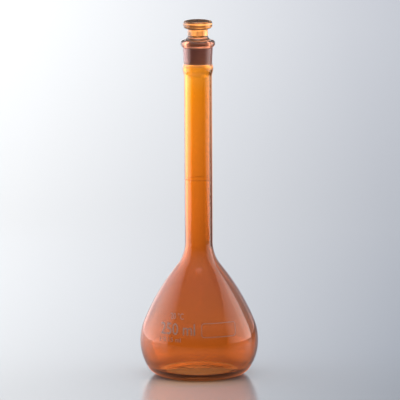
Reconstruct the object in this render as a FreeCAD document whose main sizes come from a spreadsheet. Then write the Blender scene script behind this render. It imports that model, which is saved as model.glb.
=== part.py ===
# Amber volumetric flask, 250 ml, with a solid ground-glass stopper.
# Three pieces: the blown vessel, the enamel ring that marks its capacity, and the stopper.
# Millimetres, +Z up, origin on the axis of symmetry in the plane the flask stands on.
# Every piece is a solid of revolution: its half section is drawn in XZ and turned about Z.

import FreeCAD, Part
import math
import os
from types import SimpleNamespace

import Sketcher

# name, size, what it measures
DIMENSIONS = [
    ("bulb_diameter", 81.5, "outside, at the equator"),
    ("equator_height", 23.6, "foot plane to the widest circle"),
    ("heel_radius", 10.5, "rounding from the foot into the wall"),
    ("lower_radius", 34.2, "side of the bulb, heel to equator"),
    ("side_radius", 37.5, "side of the bulb, above the equator"),
    ("shoulder_radius", 157.0, "long flat arc towards the neck"),
    ("neck_fillet_radius", 25.5, "hollow curve where the shoulder runs into the neck"),
    ("shoulder_rise", 68.6, "equator to the root of the neck"),
    ("bulb_wall", 1.5, "glass thickness of bulb and shoulder"),
    ("foot_width", 3.0, "flat ring that the flask stands on"),
    ("punt_height", 2.6, "rise of the pushed-up base at its centre"),
    ("punt_round", 5.0, "rounding from the foot ring into the punt"),
    ("punt_wall", 2.2, "glass thickness at the centre of the punt"),
    ("base_wall", 3.4, "glass thickness where the base is thickest, over the foot ring"),
    ("heel_inside", 8.0, "rounding inside, from the base into the wall"),
    ("neck_diameter", 19.1, "outside"),
    ("neck_wall", 1.75, "glass thickness of neck and chamber"),
    ("mark_rise", 44.0, "root of the neck to the middle of the ring mark"),
    ("mark_width", 0.5, "height of the ring mark"),
    ("mark_depth", 0.2, "depth of the groove that holds the enamel"),
    ("mark_relief", 0.06, "how far the enamel stands out of the neck"),
    ("chamber_rise", 76.6, "ring mark to the middle of the chamber under the socket"),
    ("chamber_swell", 0.93, "how far the chamber stands out past neck and socket"),
    ("chamber_radius", 9.0, "outward curve of the chamber"),
    ("chamber_blend", 8.0, "hollow curve between neck and chamber"),
    ("socket_rise", 19.6, "middle of the chamber to the top of the rim"),
    ("socket_wall", 2.2, "glass thickness round the ground taper"),
    ("socket_blend", 1.5, "hollow curve between chamber and socket"),
    ("taper_ratio", 10.0, "ground taper, length to change of diameter"),
    ("mouth_diameter", 16.7, "ground taper in the plane of the rim"),
    ("mouth_round", 0.6, "fire-polished inner edge of the rim"),
    ("bead_width", 1.3, "how far the bead stands out past the socket"),
    ("bead_top_round", 1.8, "upper rounding of the bead"),
    ("bead_under_round", 2.2, "lower rounding of the bead"),
    ("bead_land", 0.8, "straight band between the two roundings"),
    ("bead_fillet", 1.0, "hollow curve under the bead"),
    ("seat_clearance", 0.04, "radial gap between the ground faces"),
    ("plug_length", 16.8, "ground plug below the plane of the rim"),
    ("plug_stand", 0.7, "ground plug above the plane of the rim"),
    ("plug_end_round", 1.2, "rounding of the plug's lower edge"),
    ("grip_neck_diameter", 13.8, "waist between plug and head"),
    ("grip_cone_height", 1.7, "cone from the plug up to the waist"),
    ("grip_neck_height", 5.7, "top of the cone to the underside of the head"),
    ("grip_fillet", 0.8, "hollow curve under the head"),
    ("head_diameter", 20.0, "disc that the fingers hold"),
    ("head_height", 5.4, "thickness of the disc"),
    ("head_under_round", 2.0, "lower edge of the disc"),
    ("head_top_round", 1.7, "upper edge of the disc"),
]

dim = SimpleNamespace(**{name: size for name, size, note in DIMENSIONS})

# Heights above the foot plane, as numbers for drawing and as rules that drive the sketches.
root_height = dim.equator_height + dim.shoulder_rise
mark_height = root_height + dim.mark_rise
chamber_height = mark_height + dim.chamber_rise
rim_height = chamber_height + dim.socket_rise

root_rule = "sizes.equator_height + sizes.shoulder_rise"
mark_rule = root_rule + " + sizes.mark_rise"
chamber_rule = mark_rule + " + sizes.chamber_rise"
rim_rule = chamber_rule + " + sizes.socket_rise"

# A ground face leans outwards by half the taper. Angles run from the X axis.
taper_angle = math.pi / 2 - math.atan(1 / (2 * dim.taper_ratio))
taper_rule = "90 deg - atan(1 / (2 * sizes.taper_ratio))"

# How far a rounding of radius 1 reaches along a ground face from a level end.
taper_reach = math.tan(taper_angle / 2)

# The chamber stands out past the neck or the socket, whichever is wider at its height.
mouth_radius = dim.mouth_diameter / 2
socket_radius = mouth_radius + dim.socket_wall
socket_foot = socket_radius - dim.socket_rise / (2 * dim.taper_ratio)
chamber_reach = max(dim.neck_diameter / 2, socket_foot) + dim.chamber_swell
rim_radius = socket_radius + dim.bead_width

socket_rule = "sizes.mouth_diameter / 2 + sizes.socket_wall"
socket_foot_rule = socket_rule + " - sizes.socket_rise / (2 * sizes.taper_ratio)"
chamber_reach_rule = "max(sizes.neck_diameter / 2; %s) + sizes.chamber_swell" % socket_foot_rule

# How a sketch names its own origin and axes.
ORIGIN = (-1, 1)
X_AXIS = (-1,)
Z_AXIS = (-2,)


# Plane geometry

def point(x, y):
    return FreeCAD.Vector(x, y, 0)


def towards(centre, radius, other):
    """The point of a circle that faces another centre, where two tangent circles touch."""
    return centre + (other - centre).normalize() * radius


def meet_left(centre_a, reach_a, centre_b, reach_b):
    """The point at two given distances from two centres, left of the way between them."""
    span = centre_b - centre_a
    along = (reach_a**2 - reach_b**2 + span.Length**2) / (2 * span.Length)
    aside = math.sqrt(reach_a**2 - along**2)
    ahead = span.normalize()
    return centre_a + ahead * along + point(-ahead.y, ahead.x) * aside


def up_along(angle):
    return point(math.cos(angle), math.sin(angle))


def right_of(angle):
    return point(math.sin(angle), -math.cos(angle))


def drop_on_line(through, angle, spot):
    """The foot of the perpendicular from a spot to a leaning line."""
    return through + up_along(angle) * (spot - through).dot(up_along(angle))


def beside_line(through, angle, offset, centre, reach, above=True):
    """The point that lies `offset` right of a leaning line and `reach` above or below a centre."""
    base = drop_on_line(through + right_of(angle) * offset, angle, centre)
    rise = up_along(angle) * math.sqrt(reach**2 - (base - centre).Length ** 2)
    return base + rise if above else base - rise


def dome_radius(touched, radius, apex):
    """Radius of an arc centred on the axis, topped at apex, that touches a circle from outside."""
    drop = touched.y - apex
    return (touched.x**2 + drop**2 - radius**2) / (2 * (radius - drop))


# Sketches

class Outline:
    """A closed chain of named lines and arcs in a sketch on the body's own XZ plane."""

    def __init__(self, body, name):
        plane = [part for part in body.Origin.OriginFeatures if part.Role == "XZ_Plane"][0]
        self.sketch = body.newObject("Sketcher::SketchObject", name)
        self.sketch.AttachmentSupport = [(plane, "")]
        self.sketch.MapMode = "FlatFace"
        self.pieces = {}

    def line(self, name, start, end):
        index = self.sketch.addGeometry(Part.LineSegment(start, end), False)
        self.pieces[name] = {"index": index, "start": 1, "end": 2}

    def arc(self, name, centre, start, end, clockwise=False):
        spots = (end, start) if clockwise else (start, end)
        circle = Part.Circle(centre, FreeCAD.Vector(0, 0, 1), (start - centre).Length)
        angles = [math.atan2(spot.y - centre.y, spot.x - centre.x) for spot in spots]
        index = self.sketch.addGeometry(Part.ArcOfCircle(circle, *angles), False)
        ends = {"start": 2, "end": 1} if clockwise else {"start": 1, "end": 2}
        self.pieces[name] = {"index": index, "centre": 3, **ends}

    def mark(self, name, spot):
        """A construction point, for a size that is measured where no piece ends."""
        index = self.sketch.addGeometry(Part.Point(spot), True)
        self.pieces[name] = {"index": index, "spot": 1}

    def at(self, name, place):
        return (self.pieces[name]["index"], self.pieces[name][place])

    def piece(self, name):
        return (self.pieces[name]["index"],)

    def join(self, *corners):
        """Ties each piece to the next, smoothly except at the end of those named as corners."""
        names = list(self.pieces)
        for name, following in zip(names, names[1:] + names[:1]):
            kind = "Coincident" if name in corners else "Tangent"
            self.rule(kind, self.at(name, "end") + self.at(following, "start"))

    def rule(self, kind, where):
        self.sketch.addConstraint(Sketcher.Constraint(kind, *where))

    def straighten(self, kind, *names):
        for name in names:
            self.rule(kind, self.piece(name))

    def size(self, kind, where, rule):
        """A dimension that starts at the drawn size and follows the sheet."""
        drawn = self.drawn_size(kind, where)
        index = self.sketch.addConstraint(Sketcher.Constraint(kind, *where, drawn))
        self.sketch.setExpression("Constraints[%d]" % index, rule)

    def radii(self, **rules):
        for name, rule in rules.items():
            self.size("Radius", self.piece(name), rule)

    def drawn_size(self, kind, where):
        if kind == "Radius":
            return self.sketch.Geometry[where[0]].Radius
        if kind == "Angle":
            line = self.sketch.Geometry[where[0]]
            span = line.EndPoint - line.StartPoint
            return math.atan2(span.y, span.x)
        spots = [self.sketch.getPoint(*where[first : first + 2]) for first in range(0, len(where), 2)]
        span = spots[1] - spots[0] if len(spots) == 2 else spots[0]
        return span.x if kind == "DistanceX" else span.y


def revolve(body, outline, name, kind="PartDesign::Revolution"):
    """Turns an outline about Z: a Revolution adds glass and a Groove takes it away."""
    feature = body.newObject(kind, name)
    feature.Profile = outline.sketch
    feature.ReferenceAxis = (outline.sketch, ["V_Axis"])
    feature.Angle = 360
    body.Document.recompute()


# The vessel: above the heel, outside and inside are drawn round the same centres, a wall apart.

def heel_centre(lower, lower_radius, height, heel_radius):
    """Centre, at a given height, of the rounding that runs smoothly into the side of the bulb."""
    reach = math.sqrt((lower_radius - heel_radius) ** 2 - (lower.y - height) ** 2)
    return point(lower.x + reach, height)


def vessel_centres():
    bulb_radius = dim.bulb_diameter / 2
    lower = point(bulb_radius - dim.lower_radius, dim.equator_height)
    chamber = point(chamber_reach - dim.chamber_radius, chamber_height)
    blend_x = dim.neck_diameter / 2 + dim.chamber_blend
    blend_drop = math.sqrt((dim.chamber_blend + dim.chamber_radius) ** 2 - (blend_x - chamber.x) ** 2)
    return SimpleNamespace(
        lower=lower,
        heel=heel_centre(lower, dim.lower_radius, dim.heel_radius, dim.heel_radius),
        heel_inside=heel_centre(
            lower,
            dim.lower_radius - dim.bulb_wall,
            dim.base_wall + dim.heel_inside,
            dim.heel_inside,
        ),
        side=point(bulb_radius - dim.side_radius, dim.equator_height),
        root=point(dim.neck_diameter / 2 + dim.neck_fillet_radius, root_height),
        chamber=chamber,
        blend=point(blend_x, chamber_height - blend_drop),
    )


def draw_bulb_and_neck(outline, centres, heel, heel_start, bulb_wall, neck_wall):
    """From the heel round the bulb, up the neck and into the chamber, a wall inside the outer face."""
    lower = dim.lower_radius - bulb_wall
    side = dim.side_radius - bulb_wall
    shoulder = dim.shoulder_radius - bulb_wall
    root = dim.neck_fillet_radius + neck_wall
    blend = dim.chamber_blend + neck_wall
    chamber = dim.chamber_radius - neck_wall
    shoulder_centre = meet_left(centres.side, shoulder - side, centres.root, shoulder + root)
    heel_end = towards(centres.lower, lower, heel)
    equator = centres.lower + point(lower, 0)
    side_end = towards(shoulder_centre, shoulder, centres.side)
    shoulder_end = towards(shoulder_centre, shoulder, centres.root)
    neck_start = centres.root - point(root, 0)
    neck_end = centres.blend - point(blend, 0)
    blend_end = towards(centres.chamber, chamber, centres.blend)
    outline.arc("heel", heel, heel_start, heel_end)
    outline.arc("lower", centres.lower, heel_end, equator)
    outline.arc("side", centres.side, equator, side_end)
    outline.arc("shoulder", shoulder_centre, side_end, shoulder_end)
    outline.arc("root", centres.root, shoulder_end, neck_start, clockwise=True)
    outline.line("neck", neck_start, neck_end)
    outline.arc("blend", centres.blend, neck_end, blend_end, clockwise=True)
    return blend_end, chamber


def size_bulb_and_neck(outline, bulb_inset, neck_inset):
    """The dimensions that the outside and the inside share, less what the wall takes."""
    outline.rule("PointOnObject", outline.at("dome", "centre") + Z_AXIS)
    outline.rule("PointOnObject", outline.at("axis", "start") + Z_AXIS)
    outline.rule("Horizontal", outline.at("lower", "centre") + outline.at("lower", "end"))
    outline.rule("Horizontal", outline.at("chamber", "centre") + outline.at("widest", "spot"))
    outline.rule("PointOnObject", outline.at("widest", "spot") + outline.piece("chamber"))
    outline.straighten("Vertical", "neck", "axis")
    outline.straighten("Horizontal", "top")
    outline.radii(
        lower="sizes.lower_radius" + bulb_inset,
        side="sizes.side_radius" + bulb_inset,
        shoulder="sizes.shoulder_radius" + bulb_inset,
        root="sizes.neck_fillet_radius" + neck_inset.replace("-", "+"),
        blend="sizes.chamber_blend" + neck_inset.replace("-", "+"),
        chamber="sizes.chamber_radius" + neck_inset,
    )
    outline.size("DistanceX", outline.at("lower", "end"), "sizes.bulb_diameter / 2" + bulb_inset)
    outline.size("DistanceY", outline.at("lower", "end"), "sizes.equator_height")
    outline.size("DistanceX", outline.at("neck", "start"), "sizes.neck_diameter / 2" + neck_inset)
    outline.size("DistanceY", outline.at("neck", "start"), root_rule)
    outline.size("DistanceX", outline.at("widest", "spot"), chamber_reach_rule + neck_inset)
    outline.size("DistanceY", outline.at("widest", "spot"), chamber_rule)
    outline.size("DistanceY", outline.at("top", "end"), rim_rule)


def size_taper(outline, line, radius_rule):
    """Leans a line by the taper, through a radius that is measured in the plane of the rim."""
    outline.size("Angle", outline.piece(line), taper_rule)
    outline.rule("PointOnObject", outline.at("gauge", "spot") + outline.piece(line))
    outline.size("DistanceX", outline.at("gauge", "spot"), radius_rule)
    outline.size("DistanceY", outline.at("gauge", "spot"), rim_rule)


def draw_outside(outline, centres):
    """Punt, foot ring, bulb, neck, chamber, socket and the bead round the mouth."""
    apex = dim.punt_height
    punt = point(centres.heel.x - dim.foot_width, dim.punt_round)
    dome = dome_radius(punt, dim.punt_round, apex)
    dome_centre = point(0, apex - dome)
    dome_end = towards(dome_centre, dome, punt)
    foot_start = point(punt.x, 0)
    foot_end = point(centres.heel.x, 0)

    top = point(rim_radius - dim.bead_top_round, rim_height - dim.bead_top_round)
    land_end = top + point(dim.bead_top_round, 0)
    land_start = land_end - point(0, dim.bead_land)
    under = land_start - point(dim.bead_under_round, 0)
    gauge = point(socket_radius, rim_height)
    fillet = beside_line(
        gauge, taper_angle, dim.bead_fillet, under, dim.bead_under_round + dim.bead_fillet, above=False
    )
    socket_end = drop_on_line(gauge, taper_angle, fillet)
    corner = beside_line(
        gauge, taper_angle, dim.socket_blend, centres.chamber, dim.chamber_radius + dim.socket_blend
    )
    chamber_end = towards(centres.chamber, dim.chamber_radius, corner)
    corner_end = drop_on_line(gauge, taper_angle, corner)
    fillet_end = towards(under, dim.bead_under_round, fillet)
    top_start = top + point(0, dim.bead_top_round)

    outline.arc("dome", dome_centre, point(0, apex), dome_end, clockwise=True)
    outline.arc("punt", punt, dome_end, foot_start)
    outline.line("foot", foot_start, foot_end)
    blend_end, chamber = draw_bulb_and_neck(outline, centres, centres.heel, foot_end, 0, 0)
    outline.arc("chamber", centres.chamber, blend_end, chamber_end)
    outline.arc("corner", corner, chamber_end, corner_end, clockwise=True)
    outline.line("socket", corner_end, socket_end)
    outline.arc("fillet", fillet, socket_end, fillet_end, clockwise=True)
    outline.arc("under", under, fillet_end, land_start)
    outline.line("land", land_start, land_end)
    outline.arc("bead", top, land_end, top_start)
    outline.line("top", top_start, point(0, rim_height))
    outline.line("axis", point(0, rim_height), point(0, apex))
    outline.join("top", "axis")
    outline.mark("widest", centres.chamber + point(chamber, 0))
    outline.mark("gauge", gauge)

    size_bulb_and_neck(outline, "", "")
    outline.straighten("Horizontal", "foot")
    outline.straighten("Vertical", "land")
    outline.rule("PointOnObject", outline.at("foot", "start") + X_AXIS)
    outline.size("DistanceY", outline.at("dome", "start"), "sizes.punt_height")
    outline.size(
        "DistanceX", outline.at("foot", "start") + outline.at("foot", "end"), "sizes.foot_width"
    )
    outline.radii(
        punt="sizes.punt_round",
        heel="sizes.heel_radius",
        corner="sizes.socket_blend",
        fillet="sizes.bead_fillet",
        under="sizes.bead_under_round",
        bead="sizes.bead_top_round",
    )
    size_taper(outline, "socket", socket_rule)
    outline.size("DistanceX", outline.at("land", "end"), socket_rule + " + sizes.bead_width")
    outline.size(
        "DistanceY", outline.at("land", "start") + outline.at("land", "end"), "sizes.bead_land"
    )


def draw_inside(outline, centres):
    """The hollow: over the punt, round the bulb, up the bore and out through the ground socket."""
    apex = dim.punt_height + dim.punt_wall
    heel = centres.heel_inside
    dome = dome_radius(heel, dim.heel_inside, apex)
    dome_centre = point(0, apex - dome)
    dome_end = towards(dome_centre, dome, heel)

    gauge = point(mouth_radius, rim_height)
    ground_end = gauge - up_along(taper_angle) * (dim.mouth_round * taper_reach)
    mouth = ground_end + right_of(taper_angle) * dim.mouth_round
    top_start = mouth + point(0, dim.mouth_round)

    outline.arc("dome", dome_centre, point(0, apex), dome_end, clockwise=True)
    blend_end, chamber = draw_bulb_and_neck(
        outline, centres, heel, dome_end, dim.bulb_wall, dim.neck_wall
    )
    ground_start = beside_line(gauge, taper_angle, 0, centres.chamber, chamber)
    outline.arc("chamber", centres.chamber, blend_end, ground_start)
    outline.line("ground", ground_start, ground_end)
    outline.arc("mouth", mouth, ground_end, top_start, clockwise=True)
    outline.line("top", top_start, point(0, rim_height))
    outline.line("axis", point(0, rim_height), point(0, apex))
    outline.join("chamber", "top", "axis")
    outline.mark("widest", centres.chamber + point(chamber, 0))
    outline.mark("gauge", gauge)

    size_bulb_and_neck(outline, " - sizes.bulb_wall", " - sizes.neck_wall")
    outline.size("DistanceY", outline.at("dome", "start"), "sizes.punt_height + sizes.punt_wall")
    outline.size(
        "DistanceY", outline.at("heel", "centre"), "sizes.base_wall + sizes.heel_inside"
    )
    outline.radii(heel="sizes.heel_inside", mouth="sizes.mouth_round")
    size_taper(outline, "ground", "sizes.mouth_diameter / 2")


def draw_band(outline, inner, outer):
    """A square-cut band round the neck at the mark, from one radius to another."""
    bottom = mark_height - dim.mark_width / 2
    top = mark_height + dim.mark_width / 2
    outline.line("under", point(inner, bottom), point(outer, bottom))
    outline.line("outer", point(outer, bottom), point(outer, top))
    outline.line("over", point(outer, top), point(inner, top))
    outline.line("inner", point(inner, top), point(inner, bottom))
    outline.join("under", "outer", "over", "inner")
    outline.straighten("Horizontal", "under", "over")
    outline.straighten("Vertical", "outer", "inner")
    outline.size("DistanceX", outline.at("under", "start"), "sizes.neck_diameter / 2 - sizes.mark_depth")
    outline.size("DistanceY", outline.at("under", "start"), mark_rule + " - sizes.mark_width / 2")
    outline.size("DistanceY", outline.at("outer", "start") + outline.at("outer", "end"), "sizes.mark_width")


def build_vessel(document):
    body = document.addObject("PartDesign::Body", "Vessel")
    body.Label = "vessel"
    centres = vessel_centres()

    outside = Outline(body, "VesselOutside")
    draw_outside(outside, centres)
    revolve(body, outside, "VesselGlass")

    inside = Outline(body, "VesselInside")
    draw_inside(inside, centres)
    revolve(body, inside, "VesselHollow", "PartDesign::Groove")

    neck_radius = dim.neck_diameter / 2
    groove = Outline(body, "MarkGrooveSection")
    draw_band(groove, neck_radius - dim.mark_depth, neck_radius + dim.mark_depth)
    groove.size(
        "DistanceX", groove.at("outer", "start"), "sizes.neck_diameter / 2 + sizes.mark_depth"
    )
    revolve(body, groove, "MarkGroove", "PartDesign::Groove")
    return body


def build_graduation_ring(document):
    """Enamel fired into the groove, a little proud of the neck."""
    body = document.addObject("PartDesign::Body", "GraduationRing")
    body.Label = "graduation_ring"
    neck_radius = dim.neck_diameter / 2
    band = Outline(body, "RingSection")
    draw_band(band, neck_radius - dim.mark_depth, neck_radius + dim.mark_relief)
    band.size(
        "DistanceX", band.at("outer", "start"), "sizes.neck_diameter / 2 + sizes.mark_relief"
    )
    revolve(body, band, "RingEnamel")
    return body


def draw_stopper(outline):
    """Solid glass: ground plug, cone, waist and finger disc, from Z = 0 in the plane of the rim."""
    plug_bottom = -dim.plug_length
    gauge = point(mouth_radius - dim.seat_clearance, 0)
    plug_corner = gauge + up_along(taper_angle) * (plug_bottom / math.sin(taper_angle))
    ground_start = plug_corner + up_along(taper_angle) * (dim.plug_end_round * taper_reach)
    ground_end = gauge + up_along(taper_angle) * (dim.plug_stand / math.sin(taper_angle))
    end_round = ground_start - right_of(taper_angle) * dim.plug_end_round
    end_edge = end_round - point(0, dim.plug_end_round)

    waist = dim.grip_neck_diameter / 2
    waist_bottom = dim.plug_stand + dim.grip_cone_height
    head_bottom = waist_bottom + dim.grip_neck_height
    head_top = head_bottom + dim.head_height
    fillet = point(waist + dim.grip_fillet, head_bottom - dim.grip_fillet)
    head_edge = dim.head_diameter / 2
    under = point(head_edge - dim.head_under_round, head_bottom + dim.head_under_round)
    over = point(head_edge - dim.head_top_round, head_top - dim.head_top_round)

    outline.line("end", point(0, plug_bottom), end_edge)
    outline.arc("end_round", end_round, end_edge, ground_start)
    outline.line("ground", ground_start, ground_end)
    outline.line("cone", ground_end, point(waist, waist_bottom))
    outline.line("waist", point(waist, waist_bottom), fillet - point(dim.grip_fillet, 0))
    outline.arc(
        "fillet", fillet, fillet - point(dim.grip_fillet, 0), fillet + point(0, dim.grip_fillet),
        clockwise=True,
    )
    outline.line("underside", fillet + point(0, dim.grip_fillet), point(under.x, head_bottom))
    outline.arc("under", under, point(under.x, head_bottom), point(head_edge, under.y))
    outline.line("edge", point(head_edge, under.y), point(head_edge, over.y))
    outline.arc("over", over, point(head_edge, over.y), point(over.x, head_top))
    outline.line("top", point(over.x, head_top), point(0, head_top))
    outline.line("axis", point(0, head_top), point(0, plug_bottom))
    outline.join("ground", "cone", "top", "axis")
    outline.mark("gauge", gauge)


def size_stopper(outline):
    outline.straighten("Horizontal", "end", "underside", "top")
    outline.straighten("Vertical", "waist", "edge", "axis")
    outline.rule("PointOnObject", outline.at("axis", "start") + Z_AXIS)
    outline.rule("PointOnObject", outline.at("gauge", "spot") + outline.piece("ground"))
    outline.rule("PointOnObject", outline.at("gauge", "spot") + X_AXIS)
    outline.size("DistanceX", outline.at("gauge", "spot"), "sizes.mouth_diameter / 2 - sizes.seat_clearance")
    outline.size("Angle", outline.piece("ground"), taper_rule)
    outline.size("DistanceY", outline.at("end", "start") + ORIGIN, "sizes.plug_length")
    outline.size("DistanceY", outline.at("ground", "end"), "sizes.plug_stand")
    outline.size(
        "DistanceY", outline.at("cone", "start") + outline.at("cone", "end"), "sizes.grip_cone_height"
    )
    outline.size("DistanceX", outline.at("waist", "start"), "sizes.grip_neck_diameter / 2")
    outline.size(
        "DistanceY", outline.at("cone", "end") + outline.at("underside", "start"), "sizes.grip_neck_height"
    )
    outline.size("DistanceX", outline.at("edge", "start"), "sizes.head_diameter / 2")
    outline.size(
        "DistanceY", outline.at("underside", "start") + outline.at("top", "start"), "sizes.head_height"
    )
    outline.radii(
        end_round="sizes.plug_end_round",
        fillet="sizes.grip_fillet",
        under="sizes.head_under_round",
        over="sizes.head_top_round",
    )


def build_stopper(document):
    body = document.addObject("PartDesign::Body", "Stopper")
    body.Label = "stopper"
    section = Outline(body, "StopperSection")
    draw_stopper(section)
    size_stopper(section)
    revolve(body, section, "StopperGlass")
    body.setExpression("Placement.Base.z", rim_rule)
    return body


# Document

def fill_sheet(document):
    sheet = document.addObject("Spreadsheet::Sheet", "sizes")
    for row, (name, size, note) in enumerate(DIMENSIONS, start=1):
        sheet.set("A%d" % row, name)
        sheet.set("B%d" % row, str(size))
        sheet.set("C%d" % row, note)
        sheet.setAlias("B%d" % row, name)
    document.recompute()


def check(document, bodies):
    for item in document.Objects:
        if "Invalid" in item.State or "Error" in item.State:
            raise RuntimeError("%s failed to build" % item.Label)
    for body in bodies:
        if body.Shape.isNull() or not body.Shape.isValid():
            raise RuntimeError("%s has no valid solid" % body.Label)


def main():
    document = FreeCAD.newDocument("VolumetricFlask")
    fill_sheet(document)
    bodies = [build_vessel(document), build_graduation_ring(document), build_stopper(document)]
    document.recompute()
    check(document, bodies)
    os.makedirs("parts", exist_ok=True)
    for body in bodies:
        body.Shape.exportStep("parts/%s.step" % body.Label)
        print(body.Label, body.Shape.BoundBox, round(body.Shape.Volume / 1000, 2), "ml of material")


main()
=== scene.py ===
import math

import bmesh
import bpy
from mathutils import Matrix, Vector


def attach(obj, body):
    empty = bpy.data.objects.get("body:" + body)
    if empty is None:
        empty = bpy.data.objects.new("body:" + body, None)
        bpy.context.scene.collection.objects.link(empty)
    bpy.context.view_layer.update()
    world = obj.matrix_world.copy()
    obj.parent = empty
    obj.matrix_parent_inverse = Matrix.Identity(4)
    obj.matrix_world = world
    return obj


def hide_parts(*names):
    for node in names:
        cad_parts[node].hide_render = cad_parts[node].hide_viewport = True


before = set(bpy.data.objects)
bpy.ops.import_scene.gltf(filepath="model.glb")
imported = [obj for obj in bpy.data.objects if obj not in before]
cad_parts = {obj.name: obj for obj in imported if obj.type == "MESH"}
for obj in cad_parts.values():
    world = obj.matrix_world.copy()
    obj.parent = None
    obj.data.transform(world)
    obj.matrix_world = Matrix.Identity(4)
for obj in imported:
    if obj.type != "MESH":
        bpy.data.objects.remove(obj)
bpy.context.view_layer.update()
print("frame loaded")

mm = 0.001
weldGap = 0.0005             # mm, points nearer than this become one
sharpAngle = 35              # degrees, edges that turn more than this stay sharp
# the sockets of a Mix node that mixes colours: its share, its two colours and what comes out
mixShare, mixFrom, mixTo, mixed = 0, 6, 7, 2


# helpers used by several pieces

def fromHex(text):
    # sRGB hex to the linear colour that a node wants
    parts = [int(text[i:i + 2], 16) / 255 for i in (1, 3, 5)]
    linear = [p / 12.92 if p <= 0.04045 else ((p + 0.055) / 1.055) ** 2.4 for p in parts]
    return (*linear, 1.0)


def addNode(tree, kind, settings=None, links=None):
    # settings are attributes of the node or values of its inputs, links are what feeds its inputs
    node = tree.nodes.new(kind)
    for name, value in (settings or {}).items():
        if isinstance(name, str) and hasattr(node, name):
            setattr(node, name, value)
        else:
            node.inputs[name].default_value = value
    for name, socket in (links or {}).items():
        tree.links.new(socket, node.inputs[name])
    return node


def shadeAlong(tree, value, stops, unit=1):
    # a shade at each given place of a value, blended in between: hex, or a plain level for a grey
    places = [place * unit for place, shade in stops]
    colours = [fromHex(shade) if isinstance(shade, str) else (shade, shade, shade, 1)
               for place, shade in stops]
    first, last = places[0], places[-1]
    way = addNode(tree, "ShaderNodeMapRange", {"From Min": first, "From Max": last},
                  {"Value": value})
    ramp = addNode(tree, "ShaderNodeValToRGB", None, {"Fac": way.outputs["Result"]})
    elements = ramp.color_ramp.elements
    elements[0].color, elements[1].color = colours[0], colours[-1]
    for place, colour in zip(places[1:-1], colours[1:-1]):
        elements.new((place - first) / (last - first)).color = colour
    return ramp.outputs["Color"]


def newMaterial(name):
    material = bpy.data.materials.new(name)
    material.use_nodes = True
    material.node_tree.nodes.clear()
    return material, material.node_tree


def newPiece(name, bm, materials):
    # millimetres become metres, and the piece sits at the origin with its place in its mesh
    bmesh.ops.scale(bm, vec=(mm, mm, mm), verts=bm.verts)
    mesh = bpy.data.meshes.new(name)
    bm.to_mesh(mesh)
    bm.free()
    mesh.shade_smooth()
    mesh.set_sharp_from_angle(angle=math.radians(sharpAngle))
    piece = bpy.data.objects.new(name, mesh)
    bpy.context.scene.collection.objects.link(piece)
    for material in materials:
        mesh.materials.append(material)
    print(name, len(mesh.polygons), "faces")
    return piece


def drawOutline(bm, start, moves):
    # drawn on from one vertex: a spin about its centre makes an arc, an extrusion a line
    tip = bm.verts.new((start[0], 0, start[1]))
    for kind, x, z, *move in moves:
        if kind == "arc":
            turn, steps = move
            made = bmesh.ops.spin(bm, geom=[tip], cent=(x, 0, z), axis=(0, -1, 0), dvec=(0, 0, 0),
                                  angle=math.radians(turn), steps=steps, use_merge=False)
            tip = [item for item in made["geom_last"] if isinstance(item, bmesh.types.BMVert)][0]
        else:
            steps = move[0]
            step = (Vector((x, 0, z)) - tip.co) / steps
            for n in range(steps):
                tip = bmesh.ops.extrude_vert_indiv(bm, verts=[tip])["verts"][0]
                bmesh.ops.translate(bm, vec=step, verts=[tip])
    return tip.co.x, tip.co.z


def turnSections(start, sections, segments):
    # a section is its finish and its moves; each is turned about the axis by itself, and then the
    # seams and poles are closed
    whole = bmesh.new()
    for finish, moves in sections:
        bm = bmesh.new()
        start = drawOutline(bm, start, moves)
        bmesh.ops.spin(bm, geom=bm.verts[:] + bm.edges[:], cent=(0, 0, 0), axis=(0, 0, 1),
                       dvec=(0, 0, 0), angle=math.radians(360), steps=segments, use_merge=True)
        for face in bm.faces:
            face.material_index = finish
        part = bpy.data.meshes.new("part")
        bm.to_mesh(part)
        bm.free()
        whole.from_mesh(part)
        bpy.data.meshes.remove(part)
    bmesh.ops.remove_doubles(whole, verts=whole.verts[:], dist=weldGap)
    bmesh.ops.recalc_face_normals(whole, faces=whole.faces[:])
    return whole


amber = {
    "ior": 1.47,
    "stainAndPaintedShade": [               # mm up, and what is left of white light that goes in and out again; deeper round the bulb as painted shade, paler high on the neck as painted light
        (25, "#DE6B1F"), (45, "#CE6018"), (68, "#CA5A18"), (93, "#E8721F"), (115, "#F67C1F"),
        (175, "#FF8D1D"), (196, "#FF9216"), (205, "#FF9A28"), (214, "#FF9A28"), (219, "#E39A90"),
        (228, "#E39A90"), (229, "#E48A62"), (232.5, "#E48A62"), (232.9, "#FFA45A"),
        (246, "#FFA45A"),
    ],
    "clear": "#FFFFFF",      # where there is no stain
    "streak": "#F2E9DC",     # brush marks of the stain, over its colour
    "streakSize": 22,        # mm
    "streakDetail": 3.0,
    "edge": "#7D97BA",       # over the stain's colour where light runs along the skin
    "edgeFacing": (0.14, 0.58),    # facing, where this begins and where it is full
    "edgeDepth": [           # mm up, and the share of it
        (6, 0.8), (14, 0.5), (21, 0.08), (28, 0.08), (45, 0.7), (88, 0.7), (125, 0.2), (233, 0.2),
        (237, 0.9),
    ],
    "waveSize": 16,          # mm, slow waves that blowing leaves
    "waveDetail": 1.0,
    "waveHeight": 0.010,     # mm
    "wrinkleSize": 4.5,      # mm, chill wrinkles in the middle of the base
    "wrinkleDetail": 1.0,
    "wrinkleTwist": 0.8,
    "wrinkleHeight": 0.35,   # mm
    "wrinkleReach": (8, 17),    # mm from the axis, where they begin to fade and where they are gone
    "wrinkleTop": 12,        # mm up, above the base
    "groundShade": "#B4ACA8",
    "groundRoughness": 0.50,
    "gritSize": 0.35,        # mm, the real grit is near 0.05 and would not show
    "gritDetail": 2.0,
    "gritHeight": 0.020,     # mm
}


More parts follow.
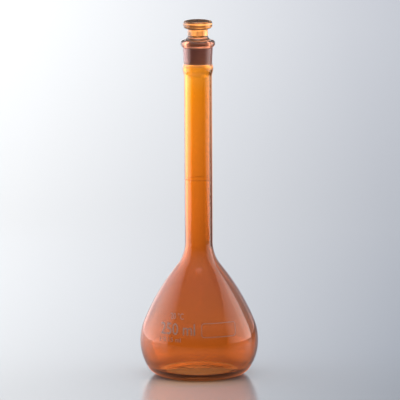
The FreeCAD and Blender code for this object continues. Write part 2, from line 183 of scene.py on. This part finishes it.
def finishGlass(tree, height, tall, settings, links=None):
    # tall is how many mm a height of 1 stands for
    bump = addNode(tree, "ShaderNodeBump", {"Distance": tall * mm}, {"Height": height})
    surface = addNode(tree, "ShaderNodeBsdfPrincipled",
                      {"Roughness": 0.0, "IOR": amber["ior"], "Transmission Weight": 1.0,
                       **settings},
                      {"Normal": bump.outputs["Normal"], **(links or {})})
    addNode(tree, "ShaderNodeOutputMaterial", None, {"Surface": surface.outputs["BSDF"]})


def blownWaves(tree, place):
    waves = addNode(tree, "ShaderNodeTexNoise",
                    {"Scale": 1 / (amber["waveSize"] * mm), "Detail": amber["waveDetail"]},
                    {"Vector": place.outputs["Object"]})
    return waves.outputs["Fac"]


def stainedGlass():
    # borosilicate glass with a silver and copper stain brushed on, fired into its outer skin and
    # polished by the fire: the brown is in the skin, so thick and thin glass are nearly the same
    # colour, a little streaky
    material, tree = newMaterial("stainedGlass")
    place = addNode(tree, "ShaderNodeTexCoord")
    split = addNode(tree, "ShaderNodeSeparateXYZ", None, {"Vector": place.outputs["Object"]})
    # the stain by height, with painted shade deepening it on the bulb and painted light paling it
    # high on the neck
    stainAndPaintedShade = shadeAlong(tree, split.outputs["Z"], amber["stainAndPaintedShade"], mm)
    brush = addNode(tree, "ShaderNodeTexNoise",
                    {"Scale": 1 / (amber["streakSize"] * mm), "Detail": amber["streakDetail"]},
                    {"Vector": place.outputs["Object"]})
    streaked = addNode(tree, "ShaderNodeMix",
                       {"data_type": "RGBA", "blend_type": "MULTIPLY",
                        mixTo: fromHex(amber["streak"])},
                       {mixShare: brush.outputs["Fac"], mixFrom: stainAndPaintedShade})
    facing = addNode(tree, "ShaderNodeLayerWeight")
    start, end = amber["edgeFacing"]
    turned = addNode(tree, "ShaderNodeMapRange", {"From Min": start, "From Max": end},
                     {"Value": facing.outputs["Facing"]})
    depth = shadeAlong(tree, split.outputs["Z"], amber["edgeDepth"], mm)
    share = addNode(tree, "ShaderNodeMath", {"operation": "MULTIPLY"},
                    {0: turned.outputs["Result"], 1: depth})
    edged = addNode(tree, "ShaderNodeMix",
                    {"data_type": "RGBA", "blend_type": "MULTIPLY", mixTo: fromHex(amber["edge"])},
                    {mixShare: share.outputs["Value"], mixFrom: streaked.outputs[mixed]})
    finishGlass(tree, blownWaves(tree, place), amber["waveHeight"], {},
                {"Base Color": edged.outputs[mixed]})
    return material


def clearInside():
    # the inner wall of the same glass, which the stain doesn't reach: blown, clear, a little wavy,
    # and wrinkled in the middle of the base, where the punt chilled it
    material, tree = newMaterial("clearInside")
    place = addNode(tree, "ShaderNodeTexCoord")
    split = addNode(tree, "ShaderNodeSeparateXYZ", None, {"Vector": place.outputs["Object"]})
    flat = addNode(tree, "ShaderNodeVectorMath", {"operation": "MULTIPLY", 1: (1, 1, 0)},
                   {0: place.outputs["Object"]})
    out = addNode(tree, "ShaderNodeVectorMath", {"operation": "LENGTH"},
                  {0: flat.outputs["Vector"]})
    fading, gone = amber["wrinkleReach"]
    middle = addNode(tree, "ShaderNodeMapRange",
                     {"From Min": gone * mm, "From Max": fading * mm,
                      "interpolation_type": "SMOOTHSTEP"},
                     {"Value": out.outputs["Value"]})
    low = addNode(tree, "ShaderNodeMath", {"operation": "LESS_THAN", 1: amber["wrinkleTop"] * mm},
                  {0: split.outputs["Z"]})
    base = addNode(tree, "ShaderNodeMath", {"operation": "MULTIPLY"},
                   {0: middle.outputs["Result"], 1: low.outputs["Value"]})
    folds = addNode(tree, "ShaderNodeTexNoise",
                    {"Scale": 1 / (amber["wrinkleSize"] * mm), "Detail": amber["wrinkleDetail"],
                     "Distortion": amber["wrinkleTwist"]},
                    {"Vector": place.outputs["Object"]})
    wrinkles = addNode(tree, "ShaderNodeMath", {"operation": "MULTIPLY"},
                       {0: folds.outputs["Fac"], 1: base.outputs["Value"]})
    height = addNode(tree, "ShaderNodeMath",
                     {"operation": "MULTIPLY_ADD", 1: amber["wrinkleHeight"] / amber["waveHeight"]},
                     {0: wrinkles.outputs["Value"], 2: blownWaves(tree, place)})
    finishGlass(tree, height.outputs["Value"], amber["waveHeight"],
                {"Base Color": fromHex(amber["clear"])})
    return material


def groundGlass():
    # borosilicate glass ground with carborundum to a taper: matt, whitish where light strikes it,
    # dark in its depth
    material, tree = newMaterial("groundGlass")
    place = addNode(tree, "ShaderNodeTexCoord")
    grit = addNode(tree, "ShaderNodeTexNoise",
                   {"Scale": 1 / (amber["gritSize"] * mm), "Detail": amber["gritDetail"]},
                   {"Vector": place.outputs["Object"]})
    finishGlass(tree, grit.outputs["Fac"], amber["gritHeight"],
                {"Base Color": fromHex(amber["groundShade"]),
                 "Roughness": amber["groundRoughness"]})
    return material


glassFinishes = [stainedGlass(), clearInside(), groundGlass()]
stained, clear, ground = 0, 1, 2
print("glass ready")


# outlines are in mm, half a section in XZ: an arc is its centre, its turn in degrees and its
# steps, a line its end and its steps
vessel = {
    "segments": 144,
    "start": (0, 2.6),
    "sections": [
        (clear, [
            ("arc", 0, -98.10589, -12.73412, 20),            # underside of the punt
            ("arc", 23.30044, 5.0, 12.73412, 5),
            ("line", 26.30044, 0, 2),                        # foot ring
        ]),
        (stained, [
            ("arc", 26.30044, 10.5, 56.44463, 16),           # heel
            ("arc", 6.55, 23.6, 33.55537, 16),
            ("arc", 3.25, 23.6, 22.56034, 14),
            ("arc", -107.10538, -22.24692, 16.27662, 30),    # shoulder
            ("arc", 35.05, 92.2, -38.83696, 18),             # root of the neck
            ("line", 9.55, 207.19665, 24),
            ("arc", 17.55, 207.19665, -19.24502, 6),
            ("arc", 1.5, 212.8, 40.81228, 16),               # chamber
            ("arc", 11.26486, 216.65973, -24.42967, 6),
            ("line", 10.28492, 227.09837, 6),                # socket
            ("arc", 11.28367, 227.04843, -56.43897, 8),
            ("arc", 9.65, 229.8, 59.30138, 10),
            ("line", 11.85, 230.6, 2),
            ("arc", 10.05, 230.6, 90.0, 12),                 # bead
            ("line", 8.92075, 232.4, 2),
        ]),
        (clear, [
            ("arc", 8.92075, 231.8, 87.13759, 8),            # mouth
            ("line", 8.17000, 228.8, 3),
        ]),
        (ground, [("line", 7.56835, 216.76706, 10)]),
        (clear, [
            ("arc", 1.5, 212.8, -52.41886, 18),
            ("arc", 17.55, 207.19665, 19.24502, 6),
            ("line", 7.8, 92.2, 24),                         # bore
            ("arc", 35.05, 92.2, 39.10699, 18),
            ("arc", -106.75842, -23.07330, -16.11692, 30),
            ("arc", 3.25, 23.6, -22.99007, 14),
            ("arc", 6.55, 23.6, -29.59903, 14),
            ("arc", 28.02673, 11.4, -66.12033, 20),          # heel
            ("arc", 0, -268.43489, 5.71936, 24),             # over the punt
        ]),
    ],
}


def buildVessel():
    bm = turnSections(vessel["start"], vessel["sections"], vessel["segments"])
    return newPiece("flask_vessel", bm, glassFinishes)


vesselPiece = buildVessel()
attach(vesselPiece, "flask")
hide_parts("vessel")
print("vessel ready")


# the stopper is drawn from the plane of the rim
stopper = {
    "segments": 128,
    "rim": 232.4,
    "start": (0, -16.8),
    "sections": [
        (clear, [("line", 6.3285, -16.8, 8), ("arc", 6.3285, -15.6, 87.13759, 10)]),
        (ground, [("line", 8.13, -3.6, 10)]),
        (clear, [("line", 8.31, 0, 3)]),
        (stained, [
            ("line", 8.345, 0.7, 1),
            ("line", 6.9, 2.4, 2),          # cone
            ("line", 6.9, 7.3, 3),          # waist
            ("arc", 7.7, 7.3, -90.0, 7),
            ("line", 8.0, 8.1, 1),
            ("arc", 8.0, 10.1, 90.0, 14),   # disc
            ("line", 10.0, 11.8, 1),
            ("arc", 8.3, 11.8, 90.0, 14),
            ("line", 0, 13.5, 8),
        ]),
    ],
}


def buildStopper():
    bm = turnSections(stopper["start"], stopper["sections"], stopper["segments"])
    bmesh.ops.translate(bm, vec=(0, 0, stopper["rim"]), verts=bm.verts)
    return newPiece("flask_stopper", bm, glassFinishes)


stopperPiece = buildStopper()
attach(stopperPiece, "stopper")
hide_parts("stopper")
print("stopper ready")


enamel = {
    "shade": "#A88A84",      # of the prints
    "worn": "#86665C",       # where the layer is thin
    "cover": 1.0,
    "roughness": 0.55,
    "grainSize": 0.5,        # mm, the real powder is finer and would not show
    "grainDetail": 3.0,
    "markShade": "#E08A3C",  # of the ring on the neck
    "markWorn": "#B8641C",
    "markCover": 0.25,
}


def firedEnamel(name, shade, worn, cover):
    # glass powder and pigment laid on and fired: thin, matt, uneven in cover
    material, tree = newMaterial(name)
    place = addNode(tree, "ShaderNodeTexCoord")
    grain = addNode(tree, "ShaderNodeTexNoise",
                    {"Scale": 1 / (enamel["grainSize"] * mm), "Detail": enamel["grainDetail"]},
                    {"Vector": place.outputs["Object"]})
    colour = addNode(tree, "ShaderNodeMix",
                     {"data_type": "RGBA", mixFrom: fromHex(worn), mixTo: fromHex(shade)},
                     {mixShare: grain.outputs["Fac"]})
    surface = addNode(tree, "ShaderNodeBsdfPrincipled",
                      {"Roughness": enamel["roughness"], "Alpha": cover},
                      {"Base Color": colour.outputs[mixed]})
    addNode(tree, "ShaderNodeOutputMaterial", None, {"Surface": surface.outputs["BSDF"]})
    return material


printEnamel = firedEnamel("printEnamel", enamel["shade"], enamel["worn"], enamel["cover"])
markEnamel = firedEnamel("markEnamel", enamel["markShade"], enamel["markWorn"], enamel["markCover"])

ringMark = {                 # mm
    "inner": 9.35,
    "outer": 9.61,
    "low": 135.95,
    "high": 136.45,
    "segments": 144,
}


def buildRing():
    # a square band, fused into the neck and a hair proud of it
    inner, outer, low, high = (ringMark[key] for key in ("inner", "outer", "low", "high"))
    corners = [(outer, low), (outer, high), (inner, high), (inner, low)]
    band = [("line", x, z, 1) for x, z in corners]
    bm = turnSections((inner, low), [(0, band)], ringMark["segments"])
    return newPiece("ring_mark", bm, [markEnamel])


ringPiece = buildRing()
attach(ringPiece, "flask")
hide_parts("graduation_ring")
print("ring mark ready")


# print on the bulb: along is mm round the wall from the front, rise mm up it from the equator
markings = {
    "lift": 0.005,           # mm off the glass
    "thickness": 0.03,       # mm
    "grid": 1.2,             # mm between the cuts that let it bend
    "onCut": 0.0001,         # mm, points this near a cut lie on it
    "curveSteps": 4,         # of a letter's curve
    "weld": 0.00001,         # of a letter's height, points nearer than this become one
    "words": [
        {"name": "print_capacity", "text": "250 ml", "along": (-28.7, -2.9), "rise": (10.1, 18.2)},
        {"name": "print_temperature", "text": "20 °C", "along": (-20.6, -10.7),
         "rise": (21.0, 25.6)},
        {"name": "print_tolerance", "text": "± 0.15 ml", "along": (-30.0, -13.0),
         "rise": (5.2, 8.2)},
    ],
    "panel": {"name": "print_panel", "along": (1.5, 27.0), "rise": (8.6, 18.6), "corner": 2.2,
              "cornerSteps": 8, "line": 0.4},
}

bulbWall = {                 # the vessel's arcs under the print: centre and radius in mm
    "side": (3.25, 23.6, 37.5),
    "shoulder": (-107.10538, -22.24692, 157.0),
    "change": 22.56034,      # degrees above the equator, where the shoulder takes over
}


def onBulb(along, rise, lift):
    # a place on the print's sheet, bent round the wall and lifted off it
    x, z, radius = bulbWall["side"]
    change = math.radians(bulbWall["change"])
    angle = rise / radius
    if angle > change:
        rest = rise - radius * change
        x, z, radius = bulbWall["shoulder"]
        angle = change + rest / radius
    around = along / (x + radius * math.cos(angle))
    reach = x + (radius + lift) * math.cos(angle)
    height = z + (radius + lift) * math.sin(angle)
    return Vector((reach * math.sin(around), -reach * math.cos(around), height))


def cutGrid(bm, step):
    for axis in (0, 1):
        spots = [v.co[axis] for v in bm.verts]
        normal = Vector((axis == 0, axis == 1, 0))
        for n in range(math.ceil(min(spots) / step), math.floor(max(spots) / step) + 1):
            bmesh.ops.bisect_plane(bm, geom=bm.verts[:] + bm.edges[:] + bm.faces[:],
                                   plane_co=normal * n * step, plane_no=normal,
                                   dist=markings["onCut"])


def layOnBulb(name, bm):
    # the flat print in mm is cut fine, given its thickness, bent round the wall and closed
    cutGrid(bm, markings["grid"])
    bmesh.ops.triangulate(bm, faces=bm.faces[:])
    made = bmesh.ops.extrude_face_region(bm, geom=bm.faces[:])
    top = [item for item in made["geom"] if isinstance(item, bmesh.types.BMVert)]
    bmesh.ops.translate(bm, vec=(0, 0, markings["thickness"]), verts=top)
    for v in bm.verts:
        v.co = onBulb(v.co.x, v.co.y, markings["lift"] + v.co.z)
    bmesh.ops.recalc_face_normals(bm, faces=bm.faces[:])
    piece = newPiece(name, bm, [printEnamel])
    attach(piece, "flask")


def buildWord(setup):
    # a word in the plain built-in letters, stretched to its place
    curve = bpy.data.curves.new(setup["name"], "FONT")
    curve.body = setup["text"]
    curve.resolution_u = markings["curveSteps"]
    holder = bpy.data.objects.new(setup["name"] + "_flat", curve)
    mesh = bpy.data.meshes.new_from_object(holder)
    bm = bmesh.new()
    bm.from_mesh(mesh)
    bpy.data.objects.remove(holder)
    bpy.data.curves.remove(curve)
    bpy.data.meshes.remove(mesh)
    bmesh.ops.remove_doubles(bm, verts=bm.verts[:], dist=markings["weld"])
    low = Vector([min(v.co[n] for v in bm.verts) for n in (0, 1)] + [0])
    high = Vector([max(v.co[n] for v in bm.verts) for n in (0, 1)] + [0])
    (left, right), (bottom, top) = setup["along"], setup["rise"]
    wider, taller = (right - left) / (high.x - low.x), (top - bottom) / (high.y - low.y)
    bmesh.ops.translate(bm, vec=-low, verts=bm.verts)
    bmesh.ops.scale(bm, vec=(wider, taller, 1), verts=bm.verts)
    bmesh.ops.translate(bm, vec=(left, bottom, 0), verts=bm.verts)
    layOnBulb(setup["name"], bm)


def buildPanel(setup):
    # the outline of a blank field to write on, with round corners, from a square of 1 mm
    (left, right), (bottom, top) = setup["along"], setup["rise"]
    bm = bmesh.new()
    bmesh.ops.create_grid(bm, x_segments=1, y_segments=1, size=0.5)
    bmesh.ops.scale(bm, vec=(right - left, top - bottom, 1), verts=bm.verts)
    bmesh.ops.translate(bm, vec=((left + right) / 2, (bottom + top) / 2, 0), verts=bm.verts)
    bmesh.ops.bevel(bm, geom=bm.verts[:], offset=setup["corner"], offset_type="OFFSET",
                    segments=setup["cornerSteps"], profile=0.5, affect="VERTICES", material=-1)
    line = bmesh.ops.inset_region(bm, faces=bm.faces[:], thickness=setup["line"],
                                  use_boundary=True, use_even_offset=True)["faces"]
    bmesh.ops.delete(bm, geom=[face for face in bm.faces if face not in line], context="FACES")
    layOnBulb(setup["name"], bm)


for setup in markings["words"]:
    buildWord(setup)
buildPanel(markings["panel"])
print("print ready")


floorSetup = {
    "radius": 9.0,           # m
    "segments": 96,
    "drop": 0.05,            # mm below the foot ring
    # the sheet's shades are painted light and shade: paler to the back and on the left, darker near
    # the flask on the right, where the light falls off
    "left": [                # m to the back, and the sheet's shade there
        (-0.07, "#A2A4A8"), (0.09, "#A6A8AC"), (0.6, "#ADAEB1"), (1.8, "#B8B9BB"),
    ],
    "right": [
        (-0.07, "#676D76"), (0.09, "#70767F"), (0.6, "#8A8E94"), (1.8, "#A0A2A6"),
    ],
    "sides": (-0.15, 0.15),  # m across, where it is all left and all right
    "roughness": 0.18,
    "grainSize": 3.0,        # mm, the print of the sheet's backing, coarser than real to show
    "grainDetail": 3.0,
    "grainHeight": 0.01,     # mm

    # painted light where the floor shows through the glass, a glow no other ray sees: m across or
    # to the back, and how much paler it is
    "glowAcross": (-0.08, -0.40),
    "glowBack": [(0.3, 0), (1.0, 1), (1.38, 1), (1.56, 0)],
    "throughBack": [(0.5, 0), (0.9, 0.07), (1.3, 0.135), (1.5, 0.135), (1.62, 0)],
    "farRight": [(0.04, 0), (0.28, 0.9), (0.9, 0.9)],
    "farBack": [(1.5, 0), (1.64, 1), (2.1, 1)],
    "under": (0.32, 0.18),   # painted glow under the base, seen through the glass, left and right
    "underReach": (0.040, 0.110),    # m from the axis, where it is full and where it is gone

    # painted shade where the glass shows or mirrors the floor: m across or to the back, and how
    # much darker it is
    "fade": [(0.10, 0), (0.30, 0.55), (0.7, 0.7)],
    "fadeBack": (0.6, 1.1),
    "dim": 0.85,
    "dimFront": (-0.15, -0.45),

    # painted amber light, standing in for light that has come through the stained glass: m from the
    # axis, and its strength
    "paintedSpill": "#FF8C50",      # painted amber glow, where the glass mirrors it
    "paintedSpillRing": [(0.026, 0), (0.033, 0.95), (0.040, 0.665), (0.046, 0)],
    "warm": "#FFAE58",       # painted amber glow on the open floor
    "warmRing": [
        (0.028, 0), (0.036, 0.26), (0.048, 0.13), (0.062, 0.085), (0.10, 0.085), (0.14, 0),
    ],
    "warmFront": (-0.018, -0.040),
    "warmAcross": [(-0.042, 0), (-0.028, 1.4), (0, 1.0), (0.028, 0.8), (0.042, 0)],

    # the sheet away from the flask, plain and pale: m, where this begins and where it is full
    "plain": "#E2E5E9",
    "plainShare": 0.93,
    "plainFront": (-0.12, -0.34),
    "plainAside": (0.215, 0.42),
    "plainBack": (2.04, 2.14),
}


def laminateSheet(tree, place, across, back):
    # its colour carries painted light and shade: paler to the back and left, darker to the right
    left, right = (shadeAlong(tree, back, floorSetup[side]) for side in ("left", "right"))
    start, end = floorSetup["sides"]
    side = addNode(tree, "ShaderNodeMapRange", {"From Min": start, "From Max": end},
                   {"Value": across})
    shade = addNode(tree, "ShaderNodeMix", {"data_type": "RGBA"},
                    {mixShare: side.outputs["Result"], mixFrom: left, mixTo: right})
    grain = addNode(tree, "ShaderNodeTexNoise",
                    {"Scale": 1 / (floorSetup["grainSize"] * mm),
                     "Detail": floorSetup["grainDetail"]},
                    {"Vector": place.outputs["Object"]})
    bump = addNode(tree, "ShaderNodeBump", {"Distance": floorSetup["grainHeight"] * mm},
                   {"Height": grain.outputs["Fac"]})
    sheet = addNode(tree, "ShaderNodeBsdfPrincipled", {"Roughness": floorSetup["roughness"]},
                    {"Base Color": shade.outputs[mixed], "Normal": bump.outputs["Normal"]})
    return sheet.outputs["BSDF"]


def paintedGlowThroughGlass(tree, across, back, out, through):
    # painted light seen only through the glass: the floor glows paler to the far left, to the back
    # and to the far right, and glows under the base
    start, end = floorSetup["glowAcross"]
    side = addNode(tree, "ShaderNodeMapRange", {"From Min": start, "From Max": end},
                   {"Value": across})
    depth = shadeAlong(tree, back, floorSetup["glowBack"])
    farLeft = addNode(tree, "ShaderNodeMath", {"operation": "MULTIPLY"},
                      {0: side.outputs["Result"], 1: depth})
    whole = shadeAlong(tree, back, floorSetup["throughBack"])
    farther = shadeAlong(tree, back, floorSetup["farBack"])
    righter = shadeAlong(tree, across, floorSetup["farRight"])
    farRight = addNode(tree, "ShaderNodeMath", {"operation": "MULTIPLY_ADD"},
                       {0: farther, 1: righter, 2: whole})
    paler = addNode(tree, "ShaderNodeMath", {"operation": "ADD"},
                    {0: farLeft.outputs["Value"], 1: farRight.outputs["Value"]})
    full, gone = floorSetup["underReach"]
    inside = addNode(tree, "ShaderNodeMapRange",
                     {"From Min": gone, "From Max": full, "interpolation_type": "SMOOTHSTEP"},
                     {"Value": out})
    left, right = floorSetup["under"]
    under = addNode(tree, "ShaderNodeMapRange",
                    {"From Min": -full, "From Max": full, "To Min": left, "To Max": right},
                    {"Value": across})
    paintedGlowTotal = addNode(tree, "ShaderNodeMath", {"operation": "MULTIPLY_ADD"},
                       {0: inside.outputs["Result"], 1: under.outputs["Result"],
                        2: paler.outputs["Value"]})
    shown = addNode(tree, "ShaderNodeMath", {"operation": "MULTIPLY"},
                    {0: paintedGlowTotal.outputs["Value"], 1: through})
    light = addNode(tree, "ShaderNodeEmission", None, {"Strength": shown.outputs["Value"]})
    return light.outputs["Emission"]


def paintedAmberRing(tree, out, mirrored):
    # a painted ring of amber light round the foot, seen only where the heel mirrors it
    ring = shadeAlong(tree, out, floorSetup["paintedSpillRing"])
    shown = addNode(tree, "ShaderNodeMath", {"operation": "MULTIPLY"}, {0: ring, 1: mirrored})
    light = addNode(tree, "ShaderNodeEmission", {"Color": fromHex(floorSetup["paintedSpill"])},
                    {"Strength": shown.outputs["Value"]})
    return light.outputs["Emission"]


def paintedAmberPatch(tree, across, back, out, seen):
    # a painted patch of amber light on the open floor, in front of the foot, seen by the camera
    start, end = floorSetup["warmFront"]
    front = addNode(tree, "ShaderNodeMapRange", {"From Min": start, "From Max": end},
                    {"Value": back})
    middle = shadeAlong(tree, across, floorSetup["warmAcross"])
    ring = shadeAlong(tree, out, floorSetup["warmRing"])
    patch = addNode(tree, "ShaderNodeMath", {"operation": "MULTIPLY"}, {0: middle, 1: ring})
    shown = addNode(tree, "ShaderNodeMath", {"operation": "MULTIPLY"},
                    {0: front.outputs["Result"], 1: seen})
    strength = addNode(tree, "ShaderNodeMath", {"operation": "MULTIPLY"},
                       {0: patch.outputs["Value"], 1: shown.outputs["Value"]})
    light = addNode(tree, "ShaderNodeEmission", {"Color": fromHex(floorSetup["warm"])},
                    {"Strength": strength.outputs["Value"]})
    return light.outputs["Emission"]


def paintedShadeShare(tree, across, back, glossy, mirrored):
    # painted shade: the front is darker where the glass mirrors it, the right wherever the glass
    # shows it
    start, end = floorSetup["dimFront"]
    front = addNode(tree, "ShaderNodeMapRange",
                    {"From Min": start, "From Max": end, "To Max": floorSetup["dim"]},
                    {"Value": back})
    dim = addNode(tree, "ShaderNodeMath", {"operation": "MULTIPLY"},
                  {0: front.outputs["Result"], 1: mirrored})
    aside = shadeAlong(tree, across, floorSetup["fade"])
    full, gone = floorSetup["fadeBack"]
    nearer = addNode(tree, "ShaderNodeMapRange", {"From Min": gone, "From Max": full},
                     {"Value": back})
    shown = addNode(tree, "ShaderNodeMath", {"operation": "MULTIPLY"},
                    {0: nearer.outputs["Result"], 1: glossy})
    fade = addNode(tree, "ShaderNodeMath", {"operation": "MULTIPLY"},
                   {0: aside, 1: shown.outputs["Value"]})
    darker = addNode(tree, "ShaderNodeMath", {"operation": "MAXIMUM"},
                     {0: dim.outputs["Value"], 1: fade.outputs["Value"]})
    return darker.outputs["Value"]


def plainShare(tree, across, back, seen):
    # the sheet is plain in front of the flask, beside it and at the back
    width = addNode(tree, "ShaderNodeMath", {"operation": "ABSOLUTE"}, {0: across}).outputs["Value"]
    ways = []
    for name, value in (("plainFront", back), ("plainBack", back), ("plainAside", width)):
        start, end = floorSetup[name]
        way = addNode(tree, "ShaderNodeMapRange", {"From Min": start, "From Max": end},
                      {"Value": value})
        ways.append(way.outputs["Result"])
    front, rear, aside = ways
    ends = addNode(tree, "ShaderNodeMath", {"operation": "MAXIMUM"}, {0: front, 1: rear})
    away = addNode(tree, "ShaderNodeMath", {"operation": "MAXIMUM"},
                   {0: ends.outputs["Value"], 1: aside})
    share = addNode(tree, "ShaderNodeMath", {"operation": "MULTIPLY", 1: floorSetup["plainShare"]},
                    {0: away.outputs["Value"]})
    shown = addNode(tree, "ShaderNodeMath", {"operation": "MULTIPLY"},
                    {0: share.outputs["Value"], 1: seen})
    return shown.outputs["Value"]


def paleLaminate():
    # satin laminate sheet: pale and cool, with a soft blurred reflection; its shade is painted
    # light, paler to the back and left; it also carries painted glows and painted shade, each for
    # the kind of ray that shows it: a glow seen through the glass, amber light mirrored by the heel
    # or seen in front of the foot, and darker patches where the glass shows or mirrors it
    material, tree = newMaterial("paleLaminate")
    place = addNode(tree, "ShaderNodeTexCoord")
    split = addNode(tree, "ShaderNodeSeparateXYZ", None, {"Vector": place.outputs["Object"]})
    across, back = split.outputs["X"], split.outputs["Y"]
    flat = addNode(tree, "ShaderNodeVectorMath", {"operation": "MULTIPLY", 1: (1, 1, 0)},
                   {0: place.outputs["Object"]})
    reach = addNode(tree, "ShaderNodeVectorMath", {"operation": "LENGTH"},
                    {0: flat.outputs["Vector"]})
    out = reach.outputs["Value"]
    ray = addNode(tree, "ShaderNodeLightPath")
    seen, glossy = ray.outputs["Is Camera Ray"], ray.outputs["Is Glossy Ray"]
    through = ray.outputs["Is Transmission Ray"]
    mirrored = addNode(tree, "ShaderNodeMath", {"operation": "SUBTRACT", "use_clamp": True},
                       {0: glossy, 1: through}).outputs["Value"]

    lit = laminateSheet(tree, place, across, back)
    # painted glows added to the lit sheet: one seen through the glass, one in the heel's mirror,
    # one seen by the camera
    for light in (paintedGlowThroughGlass(tree, across, back, out, through),
                  paintedAmberRing(tree, out, mirrored),
                  paintedAmberPatch(tree, across, back, out, seen)):
        lit = addNode(tree, "ShaderNodeAddShader", None, {0: lit, 1: light}).outputs["Shader"]
    # black for the painted shade to mix in
    dark = addNode(tree, "ShaderNodeEmission", {"Strength": 0.0})
    shaded = addNode(tree, "ShaderNodeMixShader", None,
                     {0: paintedShadeShare(tree, across, back, glossy, mirrored), 1: lit,
                      2: dark.outputs["Emission"]})
    plain = addNode(tree, "ShaderNodeEmission", {"Color": fromHex(floorSetup["plain"])})
    whole = addNode(tree, "ShaderNodeMixShader", None,
                    {0: plainShare(tree, across, back, seen), 1: shaded.outputs["Shader"],
                     2: plain.outputs["Emission"]})
    addNode(tree, "ShaderNodeOutputMaterial", None, {"Surface": whole.outputs["Shader"]})
    return material


def buildFloor():
    bm = bmesh.new()
    bmesh.ops.create_circle(bm, cap_ends=True, segments=floorSetup["segments"],
                            radius=floorSetup["radius"] / mm)
    bmesh.ops.translate(bm, vec=(0, 0, -floorSetup["drop"]), verts=bm.verts)
    return newPiece("sweep_floor", bm, [paleLaminate()])


buildFloor()
print("floor ready")


evenWhite = [(0, "#FFFFFF"), (1, "#FFFFFF")]

lamps = {                    # m, W and degrees, and the shades from one side to the other
    "leftPanel": {
        "place": (-0.437, 0.156, 0.328), "aim": (0, 0, 0.328),
        "size": (1.01, 0.656), "power": 2.9, "spread": 116,
        "across": [(0, "#B4BCC8"), (0.25, "#DCE4F0"), (0.45, "#F8FBFF"), (1, "#F8FBFF")],
    },
    "rightPanel": {
        "place": (0.726, -0.166, 0.328), "aim": (-0.140, -0.666, 0.328),
        "size": (1.01, 0.656), "power": 2.6, "spread": 126,
        "across": evenWhite,
    },
    "rightWall": {
        "place": (1.5, 1.1, 0.65), "aim": (0, 0, 0.65),
        "size": (1.7, 1.3), "power": 3.8, "spread": 180,
        "across": evenWhite,
    },
    "backWall": {
        "place": (0, 2.15, 0.26), "aim": (0, 0, 0.26),
        "size": (3.2, 0.52), "power": 2.5, "spread": 90,
        "across": [(0, "#969BA7"), (0.41, "#9A9FAB"), (0.57, "#F4F6F8"), (1, "#F4F6F8")],
    },
}


def turnTo(setup):
    # the turn that points a lamp or the camera from its place to its aim
    return (Vector(setup["aim"]) - Vector(setup["place"])).to_track_quat("-Z", "Y")


def addPanel(name, setup):
    # a soft panel standing on the floor, brightest straight ahead
    lamp = bpy.data.lights.new(name, "AREA")
    lamp.shape = "RECTANGLE"
    lamp.size, lamp.size_y = setup["size"]
    lamp.energy = setup["power"]
    lamp.spread = math.radians(setup["spread"])
    lamp.use_nodes = True
    tree = lamp.node_tree
    tree.nodes.clear()
    place = addNode(tree, "ShaderNodeNewGeometry")
    split = addNode(tree, "ShaderNodeSeparateXYZ", None, {"Vector": place.outputs["Parametric"]})
    shade = shadeAlong(tree, split.outputs["X"], setup["across"])
    light = addNode(tree, "ShaderNodeEmission", None, {"Color": shade})
    addNode(tree, "ShaderNodeOutputLight", None, {"Surface": light.outputs["Emission"]})
    holder = bpy.data.objects.new(name, lamp)
    holder.location = setup["place"]
    holder.rotation_euler = turnTo(setup).to_euler()
    holder.visible_camera = False
    bpy.context.scene.collection.objects.link(holder)


for name, setup in lamps.items():
    addPanel(name, setup)

studio = {
    "rise": [                # sine of the angle up, and the light there as a share of the peak
        (0, 0.012), (0.16, 0.016), (0.26, 0.06), (0.70, 0.12), (0.90, 0.14), (0.95, 0.64),
        (1, 0.64),
    ],
    "peak": 5.0,
    "backdrop": "#E4E8EC",   # what the camera sees past the floor
    "bounces": 20,           # a ray through the neck or the stopper crosses many surfaces
}


def buildWorld():
    # a dim room under a soft light straight overhead
    world = bpy.data.worlds.new("studio")
    bpy.context.scene.world = world
    world.use_nodes = True
    tree = world.node_tree
    tree.nodes.clear()
    place = addNode(tree, "ShaderNodeTexCoord")
    split = addNode(tree, "ShaderNodeSeparateXYZ", None, {"Vector": place.outputs["Generated"]})
    level = shadeAlong(tree, split.outputs["Z"], studio["rise"])
    room = addNode(tree, "ShaderNodeBackground", {"Strength": studio["peak"]}, {"Color": level})
    pale = addNode(tree, "ShaderNodeBackground", {"Color": fromHex(studio["backdrop"])})
    ray = addNode(tree, "ShaderNodeLightPath")
    whole = addNode(tree, "ShaderNodeMixShader", None,
                    {0: ray.outputs["Is Camera Ray"], 1: room.outputs["Background"],
                     2: pale.outputs["Background"]})
    addNode(tree, "ShaderNodeOutputWorld", None, {"Surface": whole.outputs["Shader"]})


buildWorld()
print("studio ready")

cameraSetup = {
    "place": (0.0010, -3.9945, 0.7684),    # m
    "aim": (0.0010, 0, 0.1213),
    "lens": 529,             # mm
    "sensor": 36,            # mm
    "roll": -0.28,           # degrees
    "farthest": 100,         # m
}


def buildCamera():
    data = bpy.data.cameras.new("camera")
    data.lens = cameraSetup["lens"]
    data.sensor_width = cameraSetup["sensor"]
    data.clip_end = cameraSetup["farthest"]
    camera = bpy.data.objects.new("camera", data)
    look = turnTo(cameraSetup).to_matrix().to_4x4()
    roll = Matrix.Rotation(math.radians(cameraSetup["roll"]), 4, "Z")
    camera.matrix_world = Matrix.Translation(cameraSetup["place"]) @ (look @ roll)
    bpy.context.scene.collection.objects.link(camera)
    bpy.context.scene.camera = camera


buildCamera()

scene = bpy.context.scene
scene.view_settings.view_transform = "Standard"
scene.cycles.max_bounces = studio["bounces"]
scene.cycles.transmission_bounces = studio["bounces"]
print("light and camera ready")
